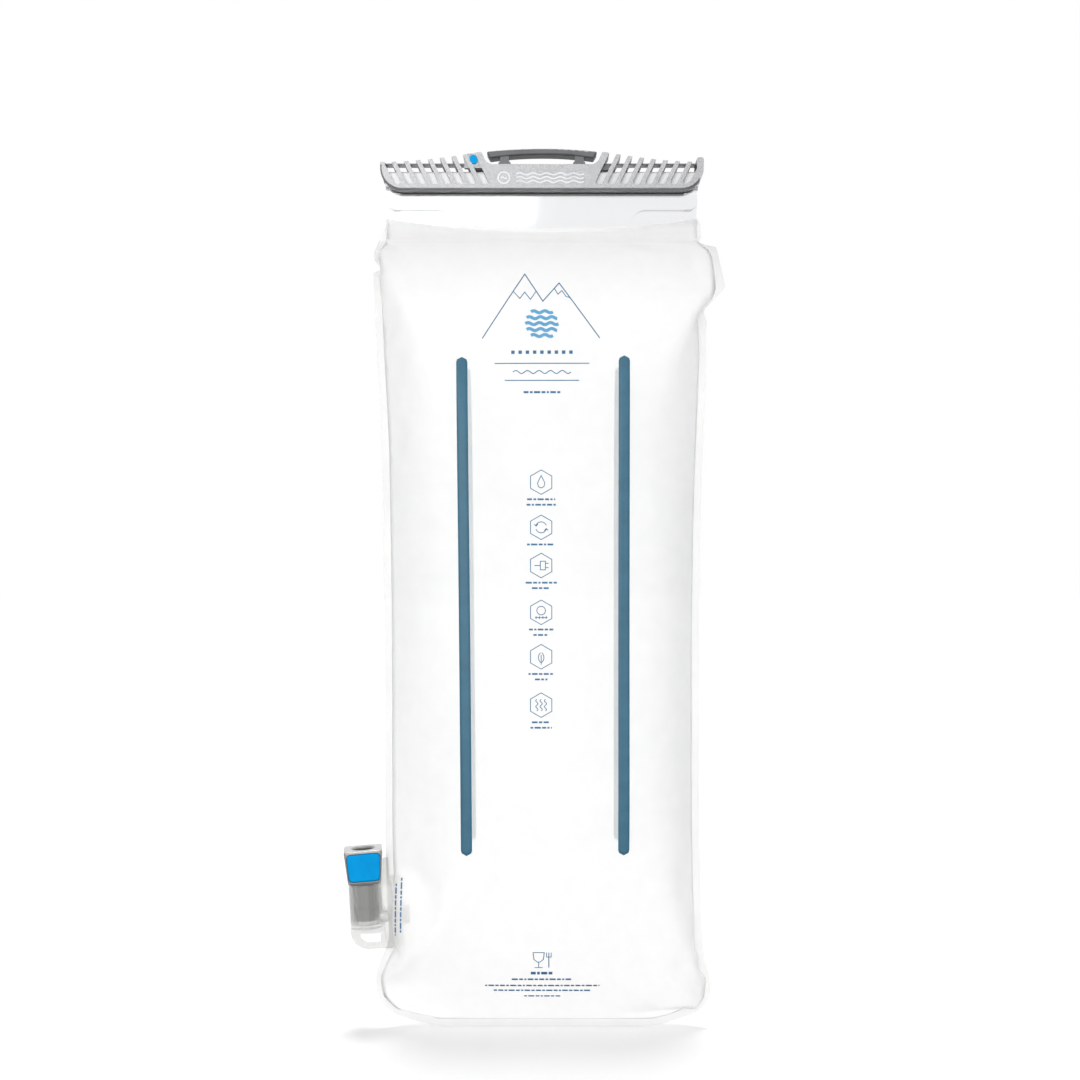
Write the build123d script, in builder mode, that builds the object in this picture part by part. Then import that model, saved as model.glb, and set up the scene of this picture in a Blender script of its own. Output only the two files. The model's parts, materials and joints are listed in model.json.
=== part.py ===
"""Hydration bladder: a welded film bag with two baffles, a slide-on closure and a quick-connect hose port.

Millimetres. The origin is under the middle of the handle grip, where a pack's hanger strap bears. +X runs
along the closure, away from the hose port, +Y runs towards the back panel and +Z is up, so the bag hangs
down into -Z.
"""

import os
from math import cos, radians, sin

from build123d import *

# Closure: a channel that slides along the mouth rails, with ribs that stand up as fins at both ends.
closure_half = 85.0
closure_depth = 14.0
closure_wall = 2.4
closure_bottom = -19.4
closure_corner = 11.5
roof_top = -6.0
roof_thickness = 2.4
side_roof_front = -5.0
side_roof_back = -3.7
side_roof_thickness = 0.8
lip_height = 2.2
lip_gap = 3.4
end_wall = 2.2
end_rim = 3.7
end_rim_top = -2.4
fin_low = -4.9
fin_high = 0.3
fin_middle = (59.0, -3.4)
fin_inner = 33.3
fin_tip = 1.6
fin_depth = 6.4
rib_slant = 0.48
slot_count = 8
slot_width = 4.0
slot_pitch = 6.56
slot_outer = 81.3
slot_floor = -16.4
slot_rim = 2.6

# Handle grip on two posts.
grip_half = 29.5
grip_depth = 8.4
grip_thickness = 3.2
grip_arch = 1.9
post_center = 19.7
post_width = 4.6
post_depth = 7.0
post_sink = 1.2

# Oval plug in the web between the two inner fins on the port side.
plug_center = (-35.9, -3.4)
plug_radii = (2.05, 2.6)
plug_proud = 0.5
plug_web = (-6.4, -3.9)

# Mouth rails.
rail_half = 82.5
rail_gap = 0.05
bead_top = -9.0
bead_bottom = -16.9
bead_depth = 4.2
bead_chamfer = 1.0
seal_height = -13.0
seal_radius = 0.8
seal_clearance = 0.1
skirt_thickness = 1.2
skirt_end_bottom = -28.6
skirt_mid_bottom = -39.6
skirt_step_outer = 54.8
skirt_step_inner = 40.0
apron_thickness = 0.6
apron_bottom = -45.0
end_block = 7.5
end_block_thickness = 1.9
end_block_top = -19.9
end_block_corner = 5.0

# Film bag.
film = 0.5
seam_gap = 0.03
seam_width = 4.0
bag_bottom = -460.6
bag_bottom_half = 56.0
bottom_strip_top = -456.6
bottom_strip_half = 72.0
neck_outer = 1.2
neck_top_end = -34.0
neck_top_mid = -42.0
neck_bottom = -46.0
baffle_x = 41.0
baffle_top = -112.0
baffle_bottom = -367.0
body_half = 82.5
body_lobe = 20.0
body_crown = 6.0
side_crown = 5.6

# Baffles: a web with a weld strip along each edge.
web_thickness = 0.6
strip_width = 5.6
strip_thickness = 0.45
strip_clearance = 0.3

# Hose port. Its heights are measured up the barrel's axis from the face that carries the coupling.
port_origin = (-93.8, 0.0, -384.4)
port_lean = 3.3
barrel_radius = 8.7
barrel_bore = 6.85
barrel_top = -0.3
barrel_bottom = -23.4
barrel_floor = 1.6
duct_height = -18.2
duct_radius = 4.8
duct_bore = 3.2
duct_end = 22.6
boat_height = -16.0
boat_half = 19.0
boat_thickness = 4.9
boat_near = 9.5
boat_far = 19.0
tab_half_thickness = 1.2
tab_top = 12.4
tab_near = 10.2
tab_far = 13.0
tab_bottom = -35.3
loop_top = -27.2
loop_bottom = -32.1
loop_left = -4.2
loop_right = 6.8
patch_near = 10.0
patch_far = 16.6

# Quick-connect coupling in the port.
housing_height = 18.1
housing_low = (17.3, 18.4)
housing_high = (20.3, 20.0)
housing_corner = 1.8
housing_chin = 1.5
coupling_turn = 7.5
funnel_radius = 6.6
funnel_depth = 1.8
guide_radius = 5.0
socket_radius = 4.6
socket_top = 9.2
socket_floor = -1.2
spigot_radius = 6.0
fit_gap = 0.05
collar_radius = 6.75
collar_bottom = -3.0
waist_radius = 5.6
waist_height = -10.5
groove_radius = 5.2
chamber_radius = 4.1
shoulder_bottom = -2.8
seat_bore = 2.6
ring_tops = (-11.6, -14.2)
ring_thickness = 1.1
tail_radius = 6.0
tail_bottom = -19.6

# Shut-off poppet, its seal, spring and retainer.
stem_radius = 1.9
stem_top = -1.4
head_radius = 3.4
head_top = -4.0
head_thickness = 2.2
poppet_travel = 3.0
poppet_seal_section = 0.55
spring_wire = 0.25
spring_radius = 2.1
spring_turns = 6
retainer_top = -15.4
retainer_thickness = 1.2
retainer_holes = 3

# Release button, latch plate and latch springs.
button_low_width = 15.9
button_high_width = 17.8
button_height = 14.4
button_middle = 9.4
button_corner = 2.2
button_thickness = 2.4
button_gap = 0.3
button_proud = 0.6
button_travel = 1.4
latch_height = 12.0
latch_thickness = 1.2
latch_half = 6.3
latch_hole = 5.2
latch_slot_clearance = 0.3
tongue_width = 8.0
tongue_bite = 1.0
latch_spring_x = 6.0
latch_spring_radius = 1.1
latch_spring_wire = 0.2
latch_spring_turns = 4
spring_pocket = 1.35

lean = radians(port_lean)
port_x = Vector(cos(lean), 0, sin(lean))
port_up = Vector(-sin(lean), 0, cos(lean))
port_plan = Plane(origin=port_origin, x_dir=port_x, z_dir=port_up)
port_front = Plane(origin=port_origin, x_dir=port_x, z_dir=(0, -1, 0))
port_side = Plane(origin=port_origin, x_dir=(0, 1, 0), z_dir=port_x)
port_axis = Axis(port_origin, port_up)


def port_point(x, y, z):
    """A point given in the port's own directions, in the part's frame."""
    return port_plan.from_local_coords(Vector(x, y, z))


# ---- Closure ----


def closure_outline():
    """Front view of the closure's walls, fins and end rim."""
    slope_end = fin_inner - fin_tip
    foot = slope_end - rib_slant * (fin_high - roof_top)
    with BuildSketch(mode=Mode.PRIVATE) as outline:
        with BuildLine():
            right_tops = ThreePointArc((closure_half - end_rim, fin_low), fin_middle, (fin_inner, fin_high))
            left_tops = ThreePointArc(
                (-fin_inner, fin_high),
                (-fin_middle[0], fin_middle[1]),
                (-closure_half, fin_low),
            )
            Polyline(
                right_tops @ 1,
                (slope_end, fin_high),
                (foot, roof_top),
                (-foot, roof_top),
                (-slope_end, fin_high),
                left_tops @ 0,
            )
            Polyline(
                left_tops @ 1,
                (-closure_half, closure_bottom),
                (closure_half, closure_bottom),
                (closure_half, end_rim_top),
                (closure_half - end_rim, end_rim_top),
                right_tops @ 0,
            )
        make_face()
        corners = outline.vertices()
        fillet(corners.group_by(Axis.Y)[0], closure_corner)
        fillet([v for v in outline.vertices() if abs(v.Y - roof_top) < 0.01 and abs(v.X) < fin_inner], 4.5)
        fillet([v for v in outline.vertices() if abs(v.Y - fin_high) < 0.01], 0.6)
        fillet([v for v in outline.vertices() if abs(v.Y - end_rim_top) < 0.01], 1.2)
    return outline.sketch


def closure_slots():
    """The slanted slots of both ends, kept a rim's width inside the outline at the ends and the bottom."""
    rise = 2 - slot_floor
    with BuildSketch(mode=Mode.PRIVATE) as slots:
        for side in (-1, 1):
            for i in range(slot_count):
                top_outer = side * (slot_outer - i * slot_pitch)
                at_floor = top_outer - side * rib_slant * (roof_top - roof_thickness - slot_floor)
                at_open = at_floor + side * rib_slant * rise
                Polygon(
                    (at_floor, slot_floor),
                    (at_floor - side * slot_width, slot_floor),
                    (at_open - side * slot_width, slot_floor + rise),
                    (at_open, slot_floor + rise),
                    align=None,
                )
        fillet(slots.vertices().group_by(Axis.Y)[0], 1.0)
        with BuildSketch(mode=Mode.PRIVATE) as inside:
            Polygon(
                (-closure_half + slot_rim, closure_bottom + slot_rim),
                (closure_half - slot_rim - 1, closure_bottom + slot_rim),
                (closure_half - slot_rim - 1, 3),
                (-closure_half + slot_rim, 3),
                align=None,
            )
            fillet(inside.vertices().group_by(Axis.Y)[0], closure_corner - slot_rim)
        add(inside.sketch, mode=Mode.INTERSECT)
    return slots.sketch


outline = closure_outline()
slots = closure_slots()
closure_front = closure_depth / 2
wall_inner = closure_front - closure_wall
roof_bottom = roof_top - roof_thickness


def front_band(z_low, z_high):
    """A front-view band between two heights, wider than the closure."""
    with BuildSketch(mode=Mode.PRIVATE) as band:
        with Locations((0, (z_low + z_high) / 2)):
            Rectangle(3 * closure_half, z_high - z_low)
    return band.sketch


with BuildPart() as slide_closure:
    with BuildSketch(Plane.XZ.offset(wall_inner)):
        add(outline)
    extrude(amount=closure_wall)
    # Rolled lower edge of the wall.
    front_edges = slide_closure.faces().sort_by(Axis.Y)[0].edges()
    chamfer([e for e in front_edges if e.center().Z < closure_bottom + closure_corner / 2], 0.9)
    with BuildSketch(Plane.XZ.offset(closure_front - fin_depth)):
        add(outline)
        add(front_band(roof_top - 0.4, end_rim_top + 10), mode=Mode.INTERSECT)
    extrude(amount=fin_depth)
    with BuildSketch(Plane.XZ.offset(closure_front - fin_depth - 1)):
        add(slots)
    extrude(amount=fin_depth + 2, mode=Mode.SUBTRACT)
    with BuildSketch(Plane.XZ.offset(lip_gap / 2)):
        add(outline)
        add(front_band(closure_bottom - 1, closure_bottom + lip_height), mode=Mode.INTERSECT)
    extrude(amount=wall_inner - lip_gap / 2)
    mirror(about=Plane.XZ)
    with BuildSketch(Plane.XZ.offset(-wall_inner)):
        add(outline)
        with Locations((0, (roof_bottom + roof_top) / 2)):
            Rectangle(2 * fin_inner + 4, roof_thickness, mode=Mode.INTERSECT)
    extrude(amount=2 * wall_inner)
    # Thin roof over the ribs of both ends, rising to the back.
    for start in (-closure_half, fin_inner):
        with BuildSketch(Plane.YZ.offset(start)):
            Polygon(
                (-wall_inner, side_roof_front),
                (-wall_inner, side_roof_front - side_roof_thickness),
                (wall_inner, side_roof_back - side_roof_thickness),
                (wall_inner, side_roof_back),
                align=None,
            )
        extrude(amount=closure_half - fin_inner)
    with BuildSketch(Plane.XZ.offset(-closure_front)):
        add(outline)
        with BuildSketch(mode=Mode.PRIVATE) as end_region:
            with Locations((closure_half - end_wall / 2, -10)):
                Rectangle(end_wall, 30)
        add(end_region.sketch, mode=Mode.INTERSECT)
    extrude(amount=closure_depth)
    # Web between the two inner fins on the port side, with the oval hole for the plug.
    with BuildSketch(Plane.XZ.offset(-plug_web[1])):
        add(slots)
        with BuildSketch(mode=Mode.PRIVATE) as web_region:
            with Locations((plug_center[0], plug_center[1] - 0.7)):
                Rectangle(9.6, 7.6)
        add(web_region.sketch, mode=Mode.INTERSECT)
    extrude(amount=plug_web[1] - plug_web[0])
    with BuildSketch(Plane.XZ.offset(-plug_web[1] - 0.1)):
        with Locations(plug_center):
            Ellipse(plug_radii[0], plug_radii[1], rotation=24)
    extrude(amount=closure_front, mode=Mode.SUBTRACT)
    # Posts that carry the grip.
    with BuildSketch(Plane.XZ.offset(-post_depth / 2)):
        for x in (-post_center, post_center):
            with Locations((x, roof_top / 2 + post_sink / 2 - 0.5)):
                Rectangle(post_width, -roof_top + post_sink)
            with Locations((x, roof_top)):
                Trapezoid(post_width + 3.2, 2.4, 66, align=(Align.CENTER, Align.MIN))
    extrude(amount=post_depth)

with BuildPart() as handle_grip:
    radius = (grip_half**2 + grip_arch**2) / (2 * grip_arch)
    with BuildSketch(Plane.XZ.offset(-grip_depth / 2)):
        with BuildLine():
            under = ThreePointArc((-grip_half + 2.2, -grip_arch), (0, 0), (grip_half - 2.2, -grip_arch))
            over = ThreePointArc(
                (grip_half, grip_thickness - grip_arch + 0.3),
                (0, grip_thickness),
                (-grip_half, grip_thickness - grip_arch + 0.3),
            )
            Line(under @ 1, over @ 0)
            Line(over @ 1, under @ 0)
        make_face()
    extrude(amount=grip_depth)
    fillet(handle_grip.edges().filter_by(Axis.Y), 0.8)
    fillet(handle_grip.faces().sort_by(Axis.Y)[0].edges(), 1.0)
    fillet(handle_grip.faces().sort_by(Axis.Y)[-1].edges(), 1.0)
    add(slide_closure.part, mode=Mode.SUBTRACT)

with BuildPart() as indicator_plug:
    with BuildSketch(Plane.XZ.offset(-plug_web[1])):
        with Locations(plug_center):
            Ellipse(plug_radii[0] - fit_gap, plug_radii[1] - fit_gap, rotation=24)
    extrude(amount=plug_web[1] - plug_web[0] + plug_proud)
    fillet(indicator_plug.faces().sort_by(Axis.Y)[0].edges(), 0.35)


# ---- Mouth rails ----


def skirt_outline():
    """Front view of the rail's skirt: shallow at the ends and deep in the middle."""
    with BuildSketch(mode=Mode.PRIVATE) as skirt:
        with BuildLine():
            left = Spline(
                (-skirt_step_outer, skirt_end_bottom),
                (-skirt_step_inner, skirt_mid_bottom),
                tangents=[(1, 0), (1, 0)],
            )
            right = Spline(
                (skirt_step_inner, skirt_mid_bottom),
                (skirt_step_outer, skirt_end_bottom),
                tangents=[(1, 0), (1, 0)],
            )
            Line(left @ 1, right @ 0)
            Polyline(
                right @ 1,
                (rail_half, skirt_end_bottom),
                (rail_half, bead_bottom),
                (-rail_half, bead_bottom),
                (-rail_half, skirt_end_bottom),
                left @ 0,
            )
        make_face()
        ends = [v for v in skirt.vertices() if abs(abs(v.X) - rail_half) < 0.01]
        fillet([v for v in ends if abs(v.Y - skirt_end_bottom) < 0.01], end_block_corner)
    return skirt.sketch


def end_blocks():
    """Front view of the thicker blocks at the rail's ends."""
    with BuildSketch(mode=Mode.PRIVATE) as blocks:
        for side in (-1, 1):
            with Locations((side * (rail_half - end_block / 2), (end_block_top + skirt_end_bottom) / 2)):
                Rectangle(end_block, end_block_top - skirt_end_bottom)
        outer = [v for v in blocks.vertices() if abs(abs(v.X) - rail_half) < 0.01]
        fillet([v for v in outer if abs(v.Y - skirt_end_bottom) < 0.01], end_block_corner)
    return blocks.sketch


def mouth_rail(name, seal_mode, seal_r):
    """One rail, on the -Y side: a bead that rides in the closure, a skirt and a thin apron under the film."""
    with BuildPart() as rail:
        with BuildSketch(Plane.YZ.offset(-rail_half)):
            Polygon(
                (-rail_gap, bead_top),
                (-bead_depth + bead_chamfer, bead_top),
                (-bead_depth, bead_top - bead_chamfer),
                (-bead_depth, bead_bottom),
                (-rail_gap, bead_bottom),
                align=None,
            )
            with Locations((-rail_gap, seal_height)):
                Circle(seal_r, mode=seal_mode)
        extrude(amount=2 * rail_half)
        with BuildSketch(Plane.XZ.offset(rail_gap)):
            add(skirt_outline())
        extrude(amount=skirt_thickness)
        with BuildSketch(Plane.XZ.offset(rail_gap)):
            add(end_blocks())
        extrude(amount=end_block_thickness)
        with BuildSketch(Plane.XZ.offset(rail_gap)):
            with Locations((0, (apron_bottom + bead_bottom) / 2)):
                Rectangle(2 * rail_half - 1, bead_bottom - apron_bottom)
        extrude(amount=apron_thickness)
    rail.part.label = name
    return rail


mouth_rail_front = mouth_rail("mouth_rail_front", Mode.ADD, seal_radius)
rear_rail_source = mouth_rail("mouth_rail_back", Mode.SUBTRACT, seal_radius + seal_clearance)
with BuildPart() as mouth_rail_back:
    add(rear_rail_source.part.mirror(Plane.XZ))


# ---- Film panels ----


def panel_section(height, half_width, lobe, crown, side, inner):
    """One cross-section of the front panel: flat seams at both sides and three lobes between the baffles."""
    outer = inner + film
    edge = half_width - seam_width
    with BuildSketch(Plane.XY.offset(height), mode=Mode.PRIVATE) as section:
        with BuildLine():
            Line((-half_width, -outer), (-edge, -outer))
            SagittaArc((-edge, -outer), (-baffle_x, -lobe), -side)
            SagittaArc((-baffle_x, -lobe), (baffle_x, -lobe), -crown)
            SagittaArc((baffle_x, -lobe), (edge, -outer), -side)
            Line((edge, -outer), (half_width, -outer))
            Line((half_width, -outer), (half_width, -inner))
            Line((half_width, -inner), (edge, -inner))
            SagittaArc((edge, -inner), (baffle_x, film - lobe), side)
            SagittaArc((baffle_x, film - lobe), (-baffle_x, film - lobe), crown)
            SagittaArc((-baffle_x, film - lobe), (-edge, -inner), side)
            Line((-edge, -inner), (-half_width, -inner))
            Line((-half_width, -inner), (-half_width, -outer))
        make_face()
    return section.sketch


# Height, half width at the seam's edge, lobe depth at the baffle line, crown of the middle, crown of the
# sides and the seam's distance from the middle plane.
body = (body_half, body_lobe, body_crown, side_crown, seam_gap)
top_sections = [
    (neck_bottom, 82.0, neck_outer + 0.05, 0.05, 0.02, neck_outer - film),
    (-62.0, 85.0, 8.0, 2.0, 1.0, 0.2),
    (-84.0, 86.5, 15.5, 5.0, 3.4, 0.05),
    (baffle_top, *body),
]
bottom_sections = [
    (baffle_bottom, *body),
    (-402.0, 83.5, 18.0, 7.0, 5.0, seam_gap),
    (-430.0, 88.0, 10.5, 6.0, 3.0, seam_gap),
    (-447.5, 84.0, 3.6, 2.4, 0.9, seam_gap),
    (bottom_strip_top, bottom_strip_half, film + seam_gap + 0.05, 0.05, 0.02, seam_gap),
]


def boat_lens(offset, grow, front_only=False):
    """Side view of the port's boat, grown by a margin; the front half alone stops at the middle plane."""
    half = boat_half + 2 * grow
    thick = boat_thickness + grow
    chord = -seam_gap if front_only else 0
    low = (chord, boat_height - half)
    high = (chord, boat_height + half)
    with BuildSketch(port_side.offset(offset), mode=Mode.PRIVATE) as lens:
        with BuildLine():
            ThreePointArc(low, (-thick, boat_height), high)
            if front_only:
                Line(high, low)
            else:
                ThreePointArc(high, (thick, boat_height), low)
        make_face()
    return lens.sketch


def port_clearance():
    """The room that the port's boat, tab and duct take inside the seam, with a small gap all round."""
    with BuildPart(mode=Mode.PRIVATE) as room:
        extrude(boat_lens(boat_near - 1, fit_gap), amount=boat_far - boat_near + 1 + fit_gap)
        with BuildSketch(port_front.offset(-tab_half_thickness - fit_gap)):
            with Locations(((tab_near - 6 + tab_far + fit_gap) / 2, (tab_top + tab_bottom) / 2)):
                Rectangle(tab_far + fit_gap - tab_near + 6, tab_top - tab_bottom + 2 * fit_gap)
        extrude(amount=2 * (tab_half_thickness + fit_gap))
        with BuildSketch(port_side):
            with Locations((0, duct_height)):
                Circle(duct_radius + fit_gap)
        extrude(amount=duct_end + 1)
    return room.part


def film_panel():
    """The front panel: the neck, the lofted body, the bottom seam and the patch over the port."""
    with BuildPart() as panel:
        with BuildSketch(Plane.XZ.offset(neck_outer - film)):
            with BuildLine():
                top = ThreePointArc((-82, neck_top_end), (0, neck_top_mid), (82, neck_top_end))
                Polyline(top @ 1, (82, neck_bottom), (-82, neck_bottom), top @ 0)
            make_face()
        extrude(amount=film)
        loft(sections=[panel_section(*row) for row in top_sections])
        extrude(panel_section(baffle_bottom, *body), amount=baffle_top - baffle_bottom)
        loft(sections=[panel_section(*row) for row in bottom_sections])
        with BuildSketch(Plane.XZ.offset(seam_gap)):
            with BuildLine():
                left = TangentArc(
                    (-bag_bottom_half, bag_bottom), (-bottom_strip_half, bottom_strip_top), tangent=(-1, 0)
                )
                right = TangentArc(
                    (bag_bottom_half, bag_bottom), (bottom_strip_half, bottom_strip_top), tangent=(1, 0)
                )
                Line(left @ 1, right @ 1)
                Line(right @ 0, left @ 0)
            make_face()
        extrude(amount=film)
        extrude(boat_lens(patch_near, fit_gap + film, front_only=True), amount=patch_far - patch_near)
        add(port_clearance(), mode=Mode.SUBTRACT)
    return panel


front_panel = film_panel()
with BuildPart() as back_panel:
    add(front_panel.part.mirror(Plane.XZ))


# ---- Baffles ----


def baffle(x):
    """A web between the panels, with a weld strip along each edge."""
    reach = body_lobe - film - strip_clearance
    length = baffle_top - baffle_bottom
    with BuildPart() as made:
        with BuildSketch(Plane.XY.offset(baffle_bottom)):
            with Locations((x, 0)):
                Rectangle(web_thickness, 2 * reach)
        extrude(amount=length)
        for side in (-1, 1):
            with BuildSketch(Plane.XZ.offset(side * reach)):
                with Locations((x, (baffle_top + baffle_bottom) / 2)):
                    SlotOverall(length, strip_width, rotation=90)
            extrude(amount=-side * strip_thickness)
    return made


baffle_left = baffle(-baffle_x)
baffle_right = baffle(baffle_x)


# ---- Hose port ----

with BuildPart() as port_molding:
    with BuildSketch(port_plan.offset(barrel_bottom)):
        Circle(barrel_radius)
    extrude(amount=barrel_top - barrel_bottom)
    with BuildSketch(port_side):
        with Locations((0, duct_height)):
            Circle(duct_radius)
    extrude(amount=duct_end)
    extrude(boat_lens(boat_near, 0), amount=boat_far - boat_near)
    # Tab from the barrel to the seam, with the pull loop below.
    with BuildSketch(port_front.offset(-tab_half_thickness)):
        with BuildLine():
            foot = ThreePointArc((-barrel_radius, -24.5), (-6.6, -31.8), (0, tab_bottom))
            Polyline(
                foot @ 1,
                (tab_far, tab_bottom),
                (tab_far, tab_top),
                (tab_near, tab_top),
                (tab_near - 1.2, barrel_top),
                (-barrel_radius, barrel_top),
                foot @ 0,
            )
        make_face()
        with BuildLine():
            sweep_in = ThreePointArc((loop_left, loop_top), (-2.7, -30.6), (1.0, loop_bottom))
            Polyline(
                sweep_in @ 1,
                (loop_right, loop_bottom),
                (loop_right, loop_top),
                sweep_in @ 0,
            )
        make_face(mode=Mode.SUBTRACT)
    extrude(amount=2 * tab_half_thickness)
    with BuildSketch(port_plan.offset(barrel_bottom + barrel_floor)):
        Circle(barrel_bore)
    extrude(amount=barrel_top - barrel_bottom, mode=Mode.SUBTRACT)
    with BuildSketch(port_side):
        with Locations((0, duct_height)):
            Circle(duct_bore)
    extrude(amount=duct_end + 1, mode=Mode.SUBTRACT)

with BuildPart() as valve_body:
    with BuildSketch(port_front):
        with BuildLine():
            Polyline(
                (socket_radius, socket_top),
                (spigot_radius, socket_top),
                (spigot_radius, 0),
                (collar_radius, 0),
                (collar_radius, collar_bottom),
                (waist_radius, waist_height),
                (waist_radius, ring_tops[0]),
                (collar_radius, ring_tops[0]),
                (collar_radius, ring_tops[0] - ring_thickness),
                (groove_radius, ring_tops[0] - ring_thickness),
                (groove_radius, ring_tops[1]),
                (collar_radius, ring_tops[1]),
                (collar_radius, ring_tops[1] - ring_thickness),
                (tail_radius, ring_tops[1] - ring_thickness),
                (tail_radius, tail_bottom),
                (chamber_radius, tail_bottom),
                (chamber_radius, shoulder_bottom),
                (seat_bore, shoulder_bottom),
                (seat_bore, socket_floor),
                (socket_radius, socket_floor),
                close=True,
            )
        make_face()
    revolve(axis=port_axis)

with BuildPart() as valve_o_ring:
    groove_middle = (ring_tops[0] - ring_thickness + ring_tops[1]) / 2
    with BuildSketch(port_front):
        with Locations((groove_radius + 0.78, groove_middle)):
            Ellipse(0.76, (ring_tops[0] - ring_thickness - ring_tops[1]) / 2 - 0.02)
    revolve(axis=port_axis)

with BuildPart() as poppet:
    with BuildSketch(port_front):
        with BuildLine():
            Polyline(
                (0, stem_top),
                (stem_radius, stem_top),
                (stem_radius, head_top),
                (head_radius, head_top),
                (head_radius, head_top - head_thickness),
                (1.2, head_top - head_thickness),
                (1.2, head_top - head_thickness - 2.0),
                (0, head_top - head_thickness - 2.0),
                close=True,
            )
        make_face()
    revolve(axis=port_axis)

    with BuildSketch(port_plan.offset(head_top - head_thickness)):
        with PolarLocations(head_radius + 0.15, 3):
            Rectangle(2 * (chamber_radius - head_radius - 0.2), 1.0)
    extrude(amount=head_thickness)

poppet_seal_centre = (stem_radius + poppet_seal_section + 0.02, shoulder_bottom - poppet_seal_section - 0.03)
with BuildPart() as poppet_o_ring:
    with BuildSketch(port_front):
        with Locations(poppet_seal_centre):
            Circle(poppet_seal_section)
    revolve(axis=port_axis)


def coil(base, up, length, radius, wire, turns):
    """A compression spring standing on base and reaching length along up, its wire kept inside both ends."""
    run = length - 2 * wire - 0.06
    start = base + up * (wire + 0.03)
    with BuildPart() as spring:
        with BuildLine() as path:
            Helix(pitch=run / turns, height=run, radius=radius, center=start, direction=up)
        with BuildSketch(Plane(origin=path.line @ 0, z_dir=path.line % 0)):
            Circle(wire)
        sweep()
    return spring


spring_base = port_point(0, 0, retainer_top)
spring_length = head_top - head_thickness - retainer_top
poppet_spring = coil(spring_base, port_up, spring_length, spring_radius, spring_wire, spring_turns)

with BuildPart() as spring_retainer:
    with BuildSketch(port_plan.offset(retainer_top - retainer_thickness)):
        Circle(chamber_radius - 0.02)
        with PolarLocations(2.4, retainer_holes):
            Circle(1.15, mode=Mode.SUBTRACT)
    extrude(amount=retainer_thickness)


# ---- Coupling ----

front_low = housing_low[1] / 2
front_high = housing_high[1] / 2
face_tilt = (front_high - front_low) / housing_height
face_at_button = front_low + face_tilt * button_middle
pocket_floor = face_at_button + button_proud - button_thickness - button_travel - 0.2
button_back = pocket_floor + button_travel + 0.2

def button_outline(grow):
    """Front view of the button, which widens upwards as the housing does, grown by a margin."""
    low = button_middle - button_height / 2 - grow
    high = button_middle + button_height / 2 + grow
    with BuildSketch(port_front, mode=Mode.PRIVATE) as outline:
        Polygon(
            (-button_low_width / 2 - grow, low),
            (button_low_width / 2 + grow, low),
            (button_high_width / 2 + grow, high),
            (-button_high_width / 2 - grow, high),
            align=None,
        )
        fillet(outline.vertices(), button_corner + grow)
    return outline.sketch


with BuildPart() as coupling_housing:
    with BuildSketch(port_plan):
        RectangleRounded(*housing_low, housing_corner)
    with BuildSketch(port_plan.offset(housing_height)):
        RectangleRounded(*housing_high, housing_corner)
    loft()
    fillet(coupling_housing.faces().sort_by(port_axis)[-1].edges(), 1.0)
    chamfer(coupling_housing.faces().sort_by(port_axis)[0].edges(), housing_chin)
    # Socket for the valve's spigot, guide bore and funnel for the hose plug.
    with BuildSketch(port_plan):
        Circle(spigot_radius + fit_gap)
    extrude(amount=socket_top + fit_gap, mode=Mode.SUBTRACT)
    with BuildSketch(port_plan):
        Circle(guide_radius)
    extrude(amount=housing_height + 1, mode=Mode.SUBTRACT)
    with BuildSketch(port_front):
        with BuildLine():
            Polyline(
                (0, housing_height + 0.01),
                (funnel_radius, housing_height + 0.01),
                (guide_radius, housing_height - funnel_depth),
                (0, housing_height - funnel_depth),
                close=True,
            )
        make_face()
    revolve(axis=port_axis, mode=Mode.SUBTRACT)
    # Window for the button.
    window = button_outline(button_gap).moved(Location((0, -pocket_floor, 0)))
    extrude(window, amount=10, mode=Mode.SUBTRACT)
    # Slot for the latch plate, open into the window.
    slot_half = latch_half + latch_slot_clearance
    with BuildSketch(port_plan.offset(latch_height - latch_thickness / 2 - latch_slot_clearance / 2)):
        with Locations((0, (latch_half + latch_slot_clearance - button_back) / 2)):
            Rectangle(2 * slot_half, slot_half + button_back)
    extrude(amount=latch_thickness + latch_slot_clearance, mode=Mode.SUBTRACT)
    # Blind holes for the latch springs.
    with BuildSketch(port_front.offset(pocket_floor)):
        with Locations((-latch_spring_x, button_middle - 4), (latch_spring_x, button_middle - 4)):
            Circle(latch_spring_radius + latch_spring_wire + 0.2)
    extrude(amount=-spring_pocket, mode=Mode.SUBTRACT)

with BuildPart() as latch_plate:
    with BuildSketch(port_plan.offset(latch_height - latch_thickness / 2)):
        with Locations((0, -button_travel / 2)):
            RectangleRounded(2 * latch_half, 2 * latch_half - button_travel, 1.5)
        tongue_front = button_back + tongue_bite
        with Locations((0, -(tongue_front + 5) / 2)):
            Rectangle(tongue_width, tongue_front - 5)
        with Locations((0, -button_travel)):
            Circle(latch_hole, mode=Mode.SUBTRACT)
    extrude(amount=latch_thickness)

with BuildPart() as release_button:
    extrude(button_outline(0).moved(Location((0, -button_back, 0))), amount=button_thickness)
    fillet(release_button.faces().sort_by(Axis.Y)[0].edges(), 0.9)
    with BuildSketch(port_front.offset(button_back)):
        with Locations((0, latch_height)):
            Rectangle(tongue_width + 2 * fit_gap, latch_thickness + 2 * fit_gap)
    extrude(amount=tongue_bite + fit_gap, mode=Mode.SUBTRACT)
    with BuildSketch(port_front.offset(button_back)):
        with Locations((-latch_spring_x, button_middle - 4), (latch_spring_x, button_middle - 4)):
            Circle(latch_spring_radius + latch_spring_wire + 0.2)
    extrude(amount=1.0, mode=Mode.SUBTRACT)

spring_back = pocket_floor - spring_pocket
latch_spring_length = button_back + 1.0 - spring_back


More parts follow.
